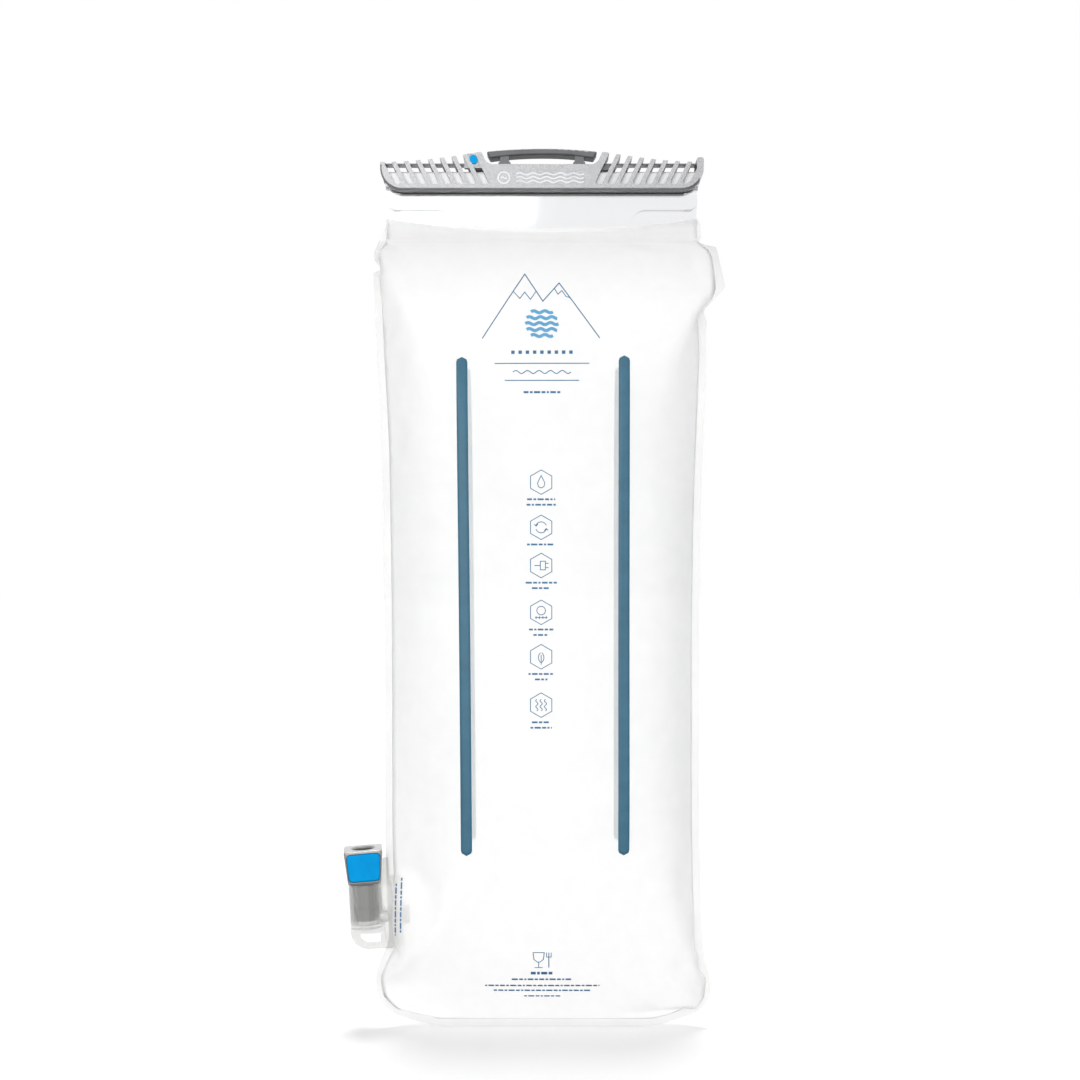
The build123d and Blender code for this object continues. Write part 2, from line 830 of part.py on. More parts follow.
def latch_spring(x):
    """One of the two springs between the housing and the button."""
    base = port_point(x, -spring_back, button_middle - 4)
    return coil(
        base,
        Vector(0, -1, 0),
        latch_spring_length,
        latch_spring_radius,
        latch_spring_wire,
        latch_spring_turns,
    )


latch_spring_left = latch_spring(-latch_spring_x)
latch_spring_right = latch_spring(latch_spring_x)


# ---- Export ----

nodes = {
    "slide_closure": slide_closure,
    "handle_grip": handle_grip,
    "indicator_plug": indicator_plug,
    "mouth_rail_front": mouth_rail_front,
    "mouth_rail_back": mouth_rail_back,
    "front_panel": front_panel,
    "back_panel": back_panel,
    "baffle_left": baffle_left,
    "baffle_right": baffle_right,
    "port_molding": port_molding,
    "valve_body": valve_body,
    "valve_o_ring": valve_o_ring,
    "poppet": poppet,
    "poppet_o_ring": poppet_o_ring,
    "poppet_spring": poppet_spring,
    "spring_retainer": spring_retainer,
    "coupling_housing": coupling_housing,
    "latch_plate": latch_plate,
    "release_button": release_button,
    "latch_spring_left": latch_spring_left,
    "latch_spring_right": latch_spring_right,
}

# The coupling swivels on the valve and stands with its button turned a little inwards.
swivelling = ("coupling_housing", "latch_plate", "release_button", "latch_spring_left", "latch_spring_right")

os.makedirs("parts", exist_ok=True)
for name, made in nodes.items():
    solid = made.part
    if name in swivelling:
        solid = solid.rotate(port_axis, coupling_turn)
    solid.label = name
    export_step(solid, f"parts/{name}.step")
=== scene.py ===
"""Looks of the hydration bladder.

A small cloth solver inflates the film, and every part gets its material, prints, lights and a camera.
"""

import json
import math

import bpy
import numpy as np
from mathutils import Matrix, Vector
from mathutils.bvhtree import BVHTree


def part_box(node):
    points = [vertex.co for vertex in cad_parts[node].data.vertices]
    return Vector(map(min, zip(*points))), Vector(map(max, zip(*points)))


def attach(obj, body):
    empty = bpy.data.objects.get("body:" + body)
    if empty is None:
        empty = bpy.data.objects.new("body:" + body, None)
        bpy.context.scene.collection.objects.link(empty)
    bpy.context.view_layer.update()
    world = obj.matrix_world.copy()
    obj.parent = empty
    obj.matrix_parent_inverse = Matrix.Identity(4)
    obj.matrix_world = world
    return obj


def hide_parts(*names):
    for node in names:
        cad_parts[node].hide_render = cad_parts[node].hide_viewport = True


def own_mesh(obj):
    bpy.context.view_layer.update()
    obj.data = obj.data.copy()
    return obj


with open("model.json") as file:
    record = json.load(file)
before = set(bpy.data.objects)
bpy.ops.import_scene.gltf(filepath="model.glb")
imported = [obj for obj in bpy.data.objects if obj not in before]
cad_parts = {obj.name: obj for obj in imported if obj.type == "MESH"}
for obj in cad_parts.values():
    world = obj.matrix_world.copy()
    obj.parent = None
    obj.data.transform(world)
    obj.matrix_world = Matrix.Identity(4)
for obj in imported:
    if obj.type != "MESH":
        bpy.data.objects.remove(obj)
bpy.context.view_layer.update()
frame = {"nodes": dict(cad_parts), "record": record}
nodes = frame["nodes"]

# ---------------------------------------------------------------- measures, in metres

CLOSURE_LOW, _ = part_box("slide_closure")
PANEL_LOW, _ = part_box("front_panel")
BAFFLE_LOW, BAFFLE_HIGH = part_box("baffle_right")
FLANGE = 0.004
NECK_ROWS = 6
NECK_HALF = 0.082
NECK_Z = -0.045
NECK_Y = 0.0013
BOTTOM_Z = PANEL_LOW.z + FLANGE
BAFFLE_X = (BAFFLE_LOW.x + BAFFLE_HIGH.x) / 2
BAFFLE_WEB = 0.0425
BAG_VOLUME = 0.00212
SEAM_ALLOWANCE = 0.0008
SOCKET = next(mount for mount in frame["record"]["mounts"] if mount["name"] == "hose_socket")
PORT_UP = np.array(SOCKET["axis"])
PORT_OUT = np.array([PORT_UP[2], 0, -PORT_UP[0]])
PORT_AT = np.array(SOCKET["pos_m"]) - PORT_UP * 0.004
BOAT_HEIGHT, BOAT_HALF, BOAT_THICK, BOAT_SEAM = -0.016, 0.019, 0.0049, 0.0155


def port_point(x, y, z):
    """A point given along the port's own directions."""
    return PORT_AT + PORT_OUT * x + np.array([0, y, 0]) + PORT_UP * z


# ---------------------------------------------------------------- film: flat pattern and inflation

# Flat half width inside the weld, and drop below the neck, down one side and round the bottom corner.
PATTERN = np.array([
    (0.0820, 0.0000), (0.0835, 0.0018), (0.0880, 0.0042), (0.0912, 0.0090), (0.0922, 0.0160),
    (0.0920, 0.0260), (0.0905, 0.0420), (0.0896, 0.0700), (0.0887, 0.1100), (0.0876, 0.2000),
    (0.0866, 0.3000), (0.0860, 0.3450), (0.0864, 0.3720), (0.0874, 0.3860), (0.0874, 0.3960),
    (0.0846, 0.4060), (0.0778, 0.4125), (0.0672, 0.4155), (0.0565, 0.4160),
])


def pattern_rows(count):
    """Half width and drop of each row of the grid, evenly spaced along the side seam."""
    along = np.r_[0, np.cumsum(np.hypot(*np.diff(PATTERN, axis=0).T))]
    at = np.linspace(0, along[-1], count)
    return np.interp(at, along, PATTERN[:, 0]), np.interp(at, along, PATTERN[:, 1])


def resample(grid, rows, columns):
    """The same two-layer grid with another number of rows and columns."""
    j = np.linspace(0, grid.shape[1] - 1, rows)
    i = np.linspace(0, grid.shape[2] - 1, columns)
    j0 = np.clip(j.astype(int), 0, grid.shape[1] - 2)
    i0 = np.clip(i.astype(int), 0, grid.shape[2] - 2)
    fj = (j - j0)[None, :, None, None]
    fi = (i - i0)[None, None, :, None]
    upper = grid[:, j0][:, :, i0] * (1 - fi) + grid[:, j0][:, :, i0 + 1] * fi
    lower = grid[:, j0 + 1][:, :, i0] * (1 - fi) + grid[:, j0 + 1][:, :, i0 + 1] * fi
    return upper * (1 - fj) + lower * fj


def links(flat):
    """Distance constraints of the film as (first, second, length, pull, push), each free of shared points."""
    rows, columns = flat.shape[:2]
    found = []

    def add(a, b, pull, push):
        delta = flat[a] - flat[b]
        length = np.hypot(delta[..., 0], delta[..., 1])
        found.append(((slice(None),) + a, (slice(None),) + b, length, pull, push))

    every = slice(None)
    for p in (0, 1):
        add((every, slice(p, columns - 1, 2)), (every, slice(p + 1, columns, 2)), 1.0, 0.5)
        add((slice(p, rows - 1, 2), every), (slice(p + 1, rows, 2), every), 1.0, 0.5)
        near, far = slice(p, rows - 1, 2), slice(p + 1, rows, 2)
        add((near, slice(0, columns - 1)), (far, slice(1, columns)), 0.5, 0.2)
        add((near, slice(1, columns)), (far, slice(0, columns - 1)), 0.5, 0.2)
    for p in range(4):
        n = len(range(p, columns - 2, 4))
        add((every, slice(p, columns - 2, 4)), (every, slice(p + 2, p + 4 * n - 1, 4)), 0.0, 0.25)
        n = len(range(p, rows - 2, 4))
        add((slice(p, rows - 2, 4), every), (slice(p + 2, p + 4 * n - 1, 4), every), 0.0, 0.25)
    return found


def layer_normals(grid):
    """Outward area vectors of both layers at each point."""
    across = np.gradient(grid, axis=2)
    down = np.gradient(grid, axis=1)
    area = np.cross(across, down)
    area[0] *= -1
    return area


# Height and half width of the inner seam. An ear stands out at the right, one is tucked in at the left.
RIGHT_SEAM = np.array([
    (-0.4560, 0.0600), (-0.4510, 0.0810), (-0.4450, 0.0848), (-0.4380, 0.0850), (-0.4290, 0.0822),
    (-0.4180, 0.0800), (-0.3550, 0.0785), (-0.2500, 0.0785), (-0.1820, 0.0795), (-0.1510, 0.0808),
    (-0.1060, 0.0826), (-0.0900, 0.0818), (-0.0835, 0.0806), (-0.0795, 0.0840), (-0.0745, 0.0905),
    (-0.0705, 0.0918), (-0.0600, 0.0900), (-0.0500, 0.0885), (-0.0475, 0.0850), (-0.0450, 0.0820),
])
LEFT_SEAM = np.array([
    (-0.4560, 0.0560), (-0.4500, 0.0826), (-0.4440, 0.0880), (-0.4380, 0.0878), (-0.4290, 0.0818),
    (-0.4180, 0.0782), (-0.3550, 0.0782), (-0.2500, 0.0784), (-0.1820, 0.0794), (-0.1510, 0.0800),
    (-0.1060, 0.0825), (-0.0760, 0.0838), (-0.0640, 0.0842), (-0.0600, 0.0822), (-0.0575, 0.0838),
    (-0.0530, 0.0850), (-0.0480, 0.0842), (-0.0450, 0.0820),
])


def inflate(rows, columns, start, steps, passes, volume):
    """Blows the bag up to a volume and returns its two layers as a grid of points."""
    half, drop = pattern_rows(rows)
    across = np.linspace(-1, 1, columns)
    flat = np.stack([half[:, None] * across, np.broadcast_to(-drop[:, None], (rows, columns))], -1)
    bag = np.zeros((2, rows, columns, 3))
    bag[..., 0] = flat[..., 0]
    bag[..., 2] = flat[..., 1] + NECK_Z
    swell = 0.004 * np.outer(np.sin(math.pi * drop / drop[-1]), 1 - across**2)
    bag[0, ..., 1] = -swell - 0.0006
    bag[1, ..., 1] = swell + 0.0006
    if start is not None:
        bag = resample(start, rows, columns)
    film = links(flat)
    neck = np.stack([NECK_HALF * across, np.zeros(columns), np.full(columns, NECK_Z)], -1)
    first_row = int(np.argmin(abs(NECK_Z - drop - BAFFLE_HIGH.z)))
    last_row = int(np.argmin(abs(NECK_Z - drop - BAFFLE_LOW.z)))
    web_rows = slice(first_row, last_row + 1)
    left = int(np.argmin(abs(across * 0.0885 + BAFFLE_X + 0.0008)))
    right = columns - 1 - left
    speed = np.zeros_like(bag)
    cell = float(np.mean(half)) * 2 / (columns - 1) * drop[-1] / (rows - 1)
    for _ in range(steps):
        area = layer_normals(bag)
        held = abs((area * bag).sum() / 3)
        push = 4.0e-5 * max(-0.4, min(1.0, 6 * (1 - held / volume)))
        speed = speed * 0.92 + push * area / cell
        before = bag.copy()
        bag += speed
        for _ in range(passes):
            for a, b, length, pull, press in film:
                first, second = bag[a], bag[b]
                delta = second - first
                now = np.sqrt((delta * delta).sum(-1)) + 1e-12
                off = (now - length) / now
                delta *= (0.5 * np.where(off > 0, pull, press) * off)[..., None]
                first += delta
                second -= delta
            for column in (left, right):
                near, far = bag[0, web_rows, column], bag[1, web_rows, column]
                delta = far - near
                now = np.sqrt((delta * delta).sum(-1)) + 1e-12
                delta *= (0.5 * np.maximum(now - BAFFLE_WEB, 0) / now)[:, None]
                near += delta
                far -= delta
            for seam in ((slice(None), 0), (slice(None), -1), (-1, slice(None))):
                middle = (bag[(0,) + seam] + bag[(1,) + seam]) / 2
                bag[(0,) + seam] = middle
                bag[(1,) + seam] = middle
            for column, sign in ((0, -1), (-1, 1)):
                z = bag[0, :, column, 2]
                pull = 0.02 + np.clip((z + 0.110) / 0.02, 0, 1) * 0.18
                guide = LEFT_SEAM if sign < 0 else RIGHT_SEAM
                x = sign * np.interp(z, guide[:, 0], guide[:, 1] + SEAM_ALLOWANCE)
                for layer in (0, 1):
                    bag[layer, :, column, 0] += (x - bag[layer, :, column, 0]) * pull
                    bag[layer, :, column, 1] *= 1 - 0.3 * pull
            height = (bag[0, :, 0, 2] - port_point(BOAT_SEAM, 0, 0)[2]) / PORT_UP[2]
            open_rows = np.flatnonzero(abs(height - BOAT_HEIGHT) < BOAT_HALF)
            bulge = BOAT_THICK * (1 - ((height[open_rows] - BOAT_HEIGHT) / BOAT_HALF) ** 2) + 0.0004
            for layer, sign in ((0, -1), (1, 1)):
                bag[layer, open_rows, 0, 0] = port_point(BOAT_SEAM, 0, 0)[0] + PORT_UP[0] * height[open_rows]
                bag[layer, open_rows, 0, 1] = sign * bulge
                bag[layer, 0] = neck
                bag[layer, 0, :, 1] = sign * NECK_Y
            bag[:, -1, :, 2] += (BOTTOM_Z - bag[:, -1, :, 2]) * 0.1
            bag[:, -1, :, 0] += (0.002 - bag[:, -1, :, 0].mean()) * 0.1
            crossed = bag[0, ..., 1] > bag[1, ..., 1]
            middle = bag[..., 1].mean(0)
            bag[..., 1] = np.where(crossed, middle, bag[..., 1])
        speed = bag - before
        fast = np.sqrt((speed * speed).sum(-1, keepdims=True)) + 1e-12
        speed *= np.minimum(1, 0.004 / fast)
    return bag, left, right, web_rows


# ---------------------------------------------------------------- materials


def new_material(name, color=(0.8, 0.8, 0.8), roughness=0.5, metallic=0.0, ior=1.5):
    """A node material with its Principled shader set, and its tree."""
    made = bpy.data.materials.new(name)
    made.use_nodes = True
    shader = made.node_tree.nodes["Principled BSDF"]
    shader.inputs["Base Color"].default_value = (*color, 1)
    shader.inputs["Roughness"].default_value = roughness
    shader.inputs["Metallic"].default_value = metallic
    shader.inputs["IOR"].default_value = ior
    return made, made.node_tree, shader


def add_node(tree, kind, **values):
    """A node with its named properties and inputs set."""
    made = tree.nodes.new(kind)
    for key, value in values.items():
        if hasattr(made, key):
            setattr(made, key, value)
        else:
            made.inputs[key.replace("_", " ")].default_value = value
    return made


def noise(tree, scale, detail=2.0, stretch=(1, 1, 1)):
    """Noise over the object's own metres, stretched if asked."""
    coords = tree.nodes.new("ShaderNodeTexCoord")
    mapping = add_node(tree, "ShaderNodeMapping", Scale=stretch)
    tree.links.new(coords.outputs["Object"], mapping.inputs["Vector"])
    made = add_node(tree, "ShaderNodeTexNoise", Scale=scale, Detail=detail)
    tree.links.new(mapping.outputs["Vector"], made.inputs["Vector"])
    return made


def ramp(tree, source, stops):
    """A colour ramp fed by a node's first factor output."""
    made = tree.nodes.new("ShaderNodeValToRGB")
    elements = made.color_ramp.elements
    while len(elements) < len(stops):
        elements.new(0.5)
    for element, (at, color) in zip(elements, stops):
        element.position = at
        element.color = (*color, 1) if len(color) == 3 else color
    tree.links.new(source.outputs["Fac" if "Fac" in source.outputs else 0], made.inputs["Fac"])
    return made


def bump(tree, shader, source, strength, distance):
    """Relief from a texture on a shader."""
    made = add_node(tree, "ShaderNodeBump", Strength=strength, Distance=distance)
    tree.links.new(source.outputs["Fac" if "Fac" in source.outputs else 0], made.inputs["Height"])
    tree.links.new(made.outputs["Normal"], shader.inputs["Normal"])
    return made


def grey(v):
    """A neutral colour."""
    return (v, v, v)


def shade_by(tree, colors, distance, stops):
    """A colour multiplied by a ramp over a distance in metres, up to 10 mm."""
    scaled = add_node(tree, "ShaderNodeMath", operation="MULTIPLY")
    tree.links.new(distance, scaled.inputs[0])
    scaled.inputs[1].default_value = 100
    shade = ramp(tree, scaled, [(at * 100, grey(v)) for at, v in stops])
    mix = add_node(tree, "ShaderNodeMixRGB", blend_type="MULTIPLY", Fac=1.0)
    tree.links.new(colors.outputs["Color"], mix.inputs["Color1"])
    tree.links.new(shade.outputs["Color"], mix.inputs["Color2"])
    return mix


def from_middle(tree):
    """Distance of a point from the object's middle plane."""
    coords = tree.nodes.new("ShaderNodeTexCoord")
    axes = tree.nodes.new("ShaderNodeSeparateXYZ")
    tree.links.new(coords.outputs["Object"], axes.inputs["Vector"])
    size = add_node(tree, "ShaderNodeMath", operation="ABSOLUTE")
    tree.links.new(axes.outputs["Y"], size.inputs[0])
    return size.outputs["Value"]


def from_port_axis(tree):
    """Distance of a point from the port's axis."""
    coords = tree.nodes.new("ShaderNodeTexCoord")
    offset = add_node(tree, "ShaderNodeVectorMath", operation="SUBTRACT")
    tree.links.new(coords.outputs["Object"], offset.inputs[0])
    offset.inputs[1].default_value = SOCKET["pos_m"]
    across = add_node(tree, "ShaderNodeVectorMath", operation="CROSS_PRODUCT")
    tree.links.new(offset.outputs["Vector"], across.inputs[0])
    across.inputs[1].default_value = SOCKET["axis"]
    size = add_node(tree, "ShaderNodeVectorMath", operation="LENGTH")
    tree.links.new(across.outputs["Vector"], size.inputs[0])
    return size.outputs["Value"]


def speckled_plastic(name, dark, light, fleck, roughness, metallic, distance, stops):
    """Moulded plastic with a fine speckle, cloudy colour and a faint texture, with shade painted in by a
    distance.
    """
    made, tree, shader = new_material(name, light, roughness, metallic)
    fine = noise(tree, 2600, 3)
    cloud = noise(tree, 90, 3)
    flecks = ramp(tree, fine, [(0.38, dark), (0.52, light), (0.66, fleck)])
    clouds = ramp(tree, cloud, [(0.3, grey(0.88)), (0.7, grey(1.0))])
    mix = add_node(tree, "ShaderNodeMixRGB", blend_type="MULTIPLY", Fac=1.0)
    tree.links.new(flecks.outputs["Color"], mix.inputs["Color1"])
    tree.links.new(clouds.outputs["Color"], mix.inputs["Color2"])
    shaded = shade_by(tree, mix, distance(tree), stops)
    tree.links.new(shaded.outputs["Color"], shader.inputs["Base Color"])
    rough = ramp(tree, cloud, [(0.3, grey(roughness - 0.06)), (0.7, grey(roughness + 0.06))])
    tree.links.new(rough.outputs["Color"], shader.inputs["Roughness"])
    bump(tree, shader, fine, 0.25, 0.00006)
    return made


def film_material(name, color, tint, alpha, roughness, translucent, fine_strength):
    """Thin film that lets some light straight through, scatters some through and reflects the rest."""
    made, tree, shader = new_material(name, color, roughness)
    shader.inputs["Specular IOR Level"].default_value = 0.5
    cloud = noise(tree, 26, 3)
    fine = noise(tree, 1800, 4)
    coords = tree.nodes.new("ShaderNodeTexCoord")
    axes = tree.nodes.new("ShaderNodeSeparateXYZ")
    tree.links.new(coords.outputs["Object"], axes.inputs["Vector"])
    # Painted shade: the sheet's colour is darkened just below the neck and brightens again further down, and
    # the sheet is thinner above it.
    down = add_node(tree, "ShaderNodeMapRange", From_Min=-0.03, From_Max=-0.08)
    tree.links.new(axes.outputs["Z"], down.inputs["Value"])
    stops = [(0.0, 1.0), (0.29, 1.0), (0.31, 0.88), (1.0, 1.0)]
    shade = ramp(tree, down, [(at, grey(v)) for at, v in stops])
    clouds = ramp(tree, cloud, [(0.3, tint), (0.7, color)])
    colors = add_node(tree, "ShaderNodeMixRGB", blend_type="MULTIPLY", Fac=1.0)
    tree.links.new(clouds.outputs["Color"], colors.inputs["Color1"])
    tree.links.new(shade.outputs["Color"], colors.inputs["Color2"])
    tree.links.new(colors.outputs["Color"], shader.inputs["Base Color"])
    glow = tree.nodes.new("ShaderNodeBsdfTranslucent")
    tree.links.new(colors.outputs["Color"], glow.inputs["Color"])
    relief = bump(tree, shader, fine, fine_strength, 0.00005)
    tree.links.new(relief.outputs["Normal"], glow.inputs["Normal"])
    body = add_node(tree, "ShaderNodeMixShader", Fac=translucent)
    tree.links.new(shader.outputs["BSDF"], body.inputs[1])
    tree.links.new(glow.outputs["BSDF"], body.inputs[2])
    through = tree.nodes.new("ShaderNodeBsdfTransparent")
    share = ramp(tree, cloud, [(0.25, grey(alpha - 0.05)), (0.75, grey(alpha + 0.05))])
    start = add_node(tree, "ShaderNodeMapRange", From_Min=-0.031, From_Max=-0.046, To_Min=0.35, To_Max=1.0)
    tree.links.new(axes.outputs["Z"], start.inputs["Value"])
    thin = add_node(tree, "ShaderNodeMath", operation="MULTIPLY")
    tree.links.new(share.outputs["Color"], thin.inputs[0])
    tree.links.new(start.outputs["Result"], thin.inputs[1])
    mix = tree.nodes.new("ShaderNodeMixShader")
    tree.links.new(thin.outputs["Value"], mix.inputs["Fac"])
    tree.links.new(through.outputs["BSDF"], mix.inputs[1])
    tree.links.new(body.outputs["Shader"], mix.inputs[2])
    tree.links.new(mix.outputs["Shader"], tree.nodes["Material Output"].inputs["Surface"])
    return made


def clear_plastic(name, color, roughness, haze, transmission, fade=None, milky=None):
    """Clear plastic. With fade and milky, two heights each, it thins out to nothing and turns milky there."""
    made, tree, shader = new_material(name, color, roughness, ior=1.46)
    shader.inputs["Transmission Weight"].default_value = transmission
    flow = noise(tree, 60, 2, (1, 1, 0.3))
    rough = ramp(tree, flow, [(0.3, grey(max(roughness - 0.04, 0.02))), (0.7, grey(roughness + 0.05))])
    tree.links.new(rough.outputs["Color"], shader.inputs["Roughness"])
    bump(tree, shader, flow, 0.12, 0.0004)
    through = tree.nodes.new("ShaderNodeBsdfTransparent")
    mix = tree.nodes.new("ShaderNodeMixShader")
    share = ramp(tree, flow, [(0.3, grey(haze - 0.04)), (0.7, grey(haze + 0.04))])
    tree.links.new(share.outputs["Color"], mix.inputs["Fac"])
    if fade:
        coords = tree.nodes.new("ShaderNodeTexCoord")
        axes = tree.nodes.new("ShaderNodeSeparateXYZ")
        tree.links.new(coords.outputs["Object"], axes.inputs["Vector"])
        clear = add_node(tree, "ShaderNodeMapRange", From_Min=milky[0], From_Max=milky[1], To_Max=0)
        clear.inputs["To Min"].default_value = transmission
        tree.links.new(axes.outputs["Z"], clear.inputs["Value"])
        tree.links.new(clear.outputs["Result"], shader.inputs["Transmission Weight"])
        thin = add_node(tree, "ShaderNodeMapRange", From_Min=fade[1], From_Max=fade[0])
        tree.links.new(axes.outputs["Z"], thin.inputs["Value"])
        scaled = add_node(tree, "ShaderNodeMath", operation="MULTIPLY")
        tree.links.new(share.outputs["Color"], scaled.inputs[0])
        tree.links.new(thin.outputs["Result"], scaled.inputs[1])
        tree.links.new(scaled.outputs["Value"], mix.inputs["Fac"])
    tree.links.new(through.outputs["BSDF"], mix.inputs[1])
    tree.links.new(shader.outputs["BSDF"], mix.inputs[2])
    tree.links.new(mix.outputs["Shader"], tree.nodes["Material Output"].inputs["Surface"])
    return made


def simple_plastic(name, color, roughness, scale=1500, strength=0.15, metallic=0.0, specular=0.5):
    """Plastic, rubber or metal with slight mottling and a fine surface texture."""
    made, tree, shader = new_material(name, color, roughness, metallic)
    shader.inputs["Specular IOR Level"].default_value = specular
    fine = noise(tree, scale, 3)
    shade = tuple(c * 0.86 for c in color)
    colors = ramp(tree, noise(tree, 120, 2), [(0.3, shade), (0.7, color)])
    tree.links.new(colors.outputs["Color"], shader.inputs["Base Color"])
    rough = ramp(tree, fine, [(0.3, grey(roughness - 0.05)), (0.7, grey(roughness + 0.05))])
    tree.links.new(rough.outputs["Color"], shader.inputs["Roughness"])
    bump(tree, shader, fine, strength, 0.00004)
    return made


# Painted shade: under and behind the closure's front wall, and inside the housing's opening, little light
# reaches, so the colour is darkened there.
BEHIND_WALL = [(0.0, 0.3), (0.0056, 0.32), (0.0066, 1.0)]
INSIDE_OPENING = [(0.0, 0.22), (0.0056, 0.24), (0.0061, 1.0)]
RAIL_FADE = (-0.0345, -0.0395)
RAIL_MILKY = (-0.018, -0.0165)

CLOSURE = speckled_plastic("closure_plastic", (0.30, 0.31, 0.32), (0.45, 0.455, 0.465), (0.62, 0.625, 0.635),
                           0.40, 0.5, from_middle, BEHIND_WALL)
GRIP = simple_plastic("grip_rubber", (0.125, 0.128, 0.135), 0.42, 900, 0.3)
MARKER = simple_plastic("marker_blue", (0.0, 0.38, 0.82), 0.35, specular=0.06)
RAIL = clear_plastic("rail_clear", (0.965, 0.97, 0.975), 0.03, 0.94, 1.0, RAIL_FADE, RAIL_MILKY)
PORT = clear_plastic("port_clear", (0.72, 0.72, 0.70), 0.08, 0.6, 0.6)
FILM = film_material("film_frosted", (0.96, 0.96, 0.955), (0.93, 0.935, 0.93), 0.6, 0.4, 0.5, 0.35)
WELD = film_material("film_weld", (0.92, 0.92, 0.915), (0.87, 0.875, 0.87), 0.68, 0.38, 0.5, 0.3)
WEB = film_material("baffle_film", (0.84, 0.88, 0.90), (0.78, 0.84, 0.87), 0.35, 0.35, 0.5, 0.2)
STRIP = simple_plastic("baffle_weld", (0.047, 0.155, 0.235), 0.4, 1100, 0.2, specular=0.3)
VALVE = simple_plastic("valve_plastic", (0.06, 0.063, 0.07), 0.28, metallic=0.3)
SEAL = simple_plastic("seal_rubber", (0.012, 0.012, 0.013), 0.5)
POPPET = simple_plastic("poppet_plastic", (0.72, 0.73, 0.74), 0.4)
STEEL = simple_plastic("steel", (0.55, 0.55, 0.56), 0.3, 700, 0.2, 1.0)
HOUSING = speckled_plastic("housing_plastic", (0.30, 0.295, 0.29), (0.42, 0.415, 0.41), (0.54, 0.535, 0.53),
                           0.33, 0.35, from_port_axis, INSIDE_OPENING)
BUTTON = simple_plastic("button_blue", (0.0, 0.325, 0.75), 0.22, 1500, 0.05, specular=0.06)
INK = simple_plastic("ink_blue", (0.028, 0.145, 0.30), 0.45, 1500, 0.1)
INK_LIGHT = simple_plastic("ink_light_blue", (0.10, 0.36, 0.60), 0.45, 1500, 0.1)
WHITE_INK = simple_plastic("white_mark", (0.86, 0.87, 0.88), 0.45, 1500, 0.1)

for node, finish in {
    "slide_closure": CLOSURE, "handle_grip": GRIP, "indicator_plug": MARKER, "mouth_rail_front": RAIL,
    "mouth_rail_back": RAIL, "port_molding": PORT, "valve_body": VALVE, "valve_o_ring": SEAL,
    "poppet": POPPET, "poppet_o_ring": SEAL, "poppet_spring": STEEL, "spring_retainer": VALVE,
    "coupling_housing": HOUSING, "latch_plate": STEEL, "release_button": BUTTON,
    "latch_spring_left": STEEL, "latch_spring_right": STEEL,
}.items():
    nodes[node].data.materials.clear()
    nodes[node].data.materials.append(finish)

# ---------------------------------------------------------------- springs


def compressed_spring(node):
    """A copy of the spring that rides on the bag, in place of the CAD part."""
    mesh = nodes[node].data.copy()
    made = bpy.data.objects.new(f"{node}_coil", mesh)
    bpy.context.scene.collection.objects.link(made)
    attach(made, "bag")
    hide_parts(node)
    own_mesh(made)


compressed_spring("latch_spring_left")
compressed_spring("latch_spring_right")
compressed_spring("poppet_spring")

# ---------------------------------------------------------------- meshes


def new_mesh(name, points, faces, body, materials, indices=None, smooth=True):
    """A mesh object from points and faces that rides on a CAD body."""
    mesh = bpy.data.meshes.new(name)
    mesh.from_pydata([tuple(map(float, p)) for p in points], [], [tuple(map(int, f)) for f in faces])
    mesh.polygons.foreach_set("use_smooth", [smooth] * len(mesh.polygons))
    for material in materials:
        mesh.materials.append(material)
    if indices is not None:
        mesh.polygons.foreach_set("material_index", [int(i) for i in indices])
    mesh.update()
    made = bpy.data.objects.new(name, mesh)
    bpy.context.scene.collection.objects.link(made)
    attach(made, body)
    return made


def grid_faces(rows, columns, flip=False, first=0):
    """Quads of a grid of points stored row by row."""
    j, i = np.meshgrid(np.arange(rows - 1), np.arange(columns - 1), indexing="ij")
    a = (first + j * columns + i).ravel()
    quads = np.stack([a, a + 1, a + columns + 1, a + columns], 1)
    return quads[:, ::-1] if flip else quads


def unit(v):
    """Vectors of length one."""
    return v / (np.linalg.norm(v, axis=-1, keepdims=True) + 1e-12)


def frosted_edge(x):
    """Height at which the frosted film begins, lower in the middle of the neck."""
    return -0.0395 + 0.0065 * np.abs(x / NECK_HALF) ** 2.2


# Outer edge of the weld beside the neck and shoulders, as the seam point's height, then the edge's x and z.
RIGHT_EDGE = np.array([
    (-0.0930, 0.0880, -0.0918), (-0.0860, 0.0872, -0.0860), (-0.0812, 0.0855, -0.0815),
    (-0.0705, 0.0973, -0.0693), (-0.0482, 0.0925, -0.0478), (-0.0452, 0.0827, -0.0461),
    (-0.0430, 0.0842, -0.0425), (-0.0380, 0.0844, -0.0370), (-0.0330, 0.0826, -0.0330),
])
LEFT_EDGE = np.array([
    (-0.0890, -0.0882, -0.0886), (-0.0740, -0.0889, -0.0735), (-0.0615, -0.0892, -0.0611),
    (-0.0592, -0.0843, -0.0594), (-0.0560, -0.0885, -0.0558), (-0.0516, -0.0891, -0.0513),
    (-0.0435, -0.0853, -0.0422), (-0.0380, -0.0823, -0.0368), (-0.0330, -0.0823, -0.0330),
])


def softened(line, times):
    """A line with its inner points averaged with their neighbours."""
    line = line.copy()
    for _ in range(times):
        line[1:-1] = (line[:-2] + 2 * line[1:-1] + line[2:]) / 4
    return line


